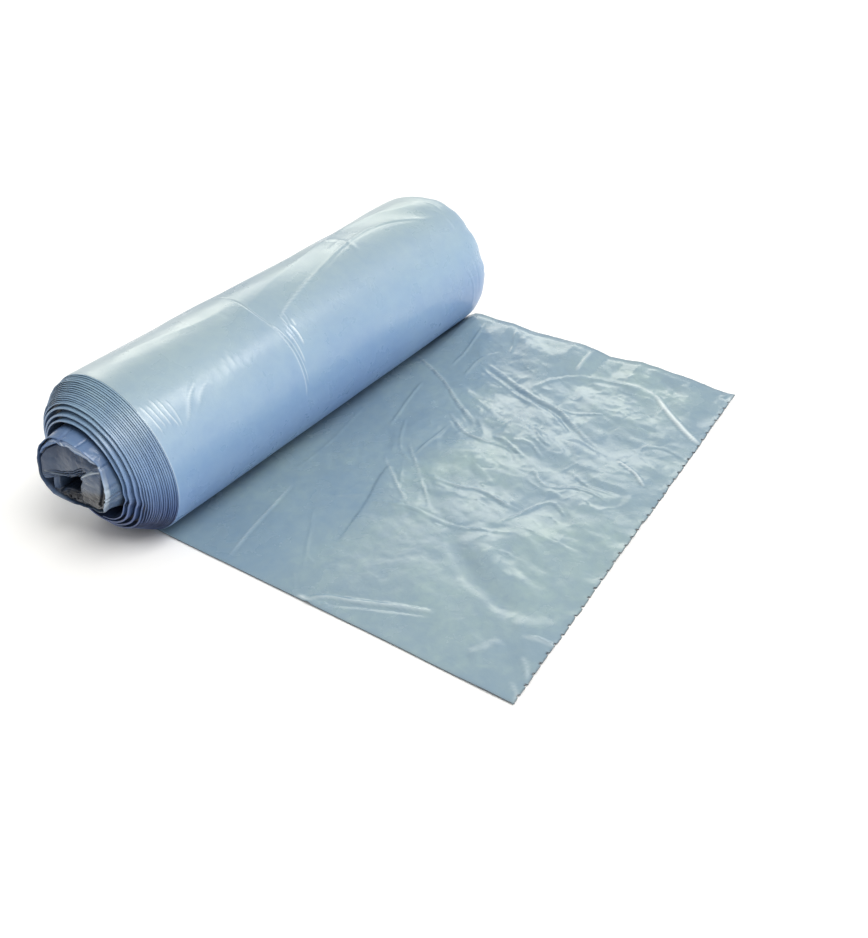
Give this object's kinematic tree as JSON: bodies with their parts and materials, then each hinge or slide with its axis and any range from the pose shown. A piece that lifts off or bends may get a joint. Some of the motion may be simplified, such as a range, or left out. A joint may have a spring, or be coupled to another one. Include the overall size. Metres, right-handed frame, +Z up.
{
  "type": "bin bag roll",
  "caption": "Coreless roll of flat-folded film bin bags on its side, inner turns slid out at one end, with the leading bag partly unrolled flat to a torn perforated edge.",
  "frame": {"origin": "centre of the narrow flat strip under the roll that it rests on, on the floor, half-way along the outermost turn", "axes": "+Z up; Y along the roll's axis, with the end whose inner turns stand out at -Y; +X the way the loose end runs along the floor"},
  "size_m": [0.271, 0.2796, 0.0844],
  "materials": {
    "film": "thin pale steel-blue polyethylene film, slightly translucent, soft gloss with fine wrinkles"
  },
  "bodies": {
    "root": {"bin_bag_roll": "film"}
  },
  "joints": []
}
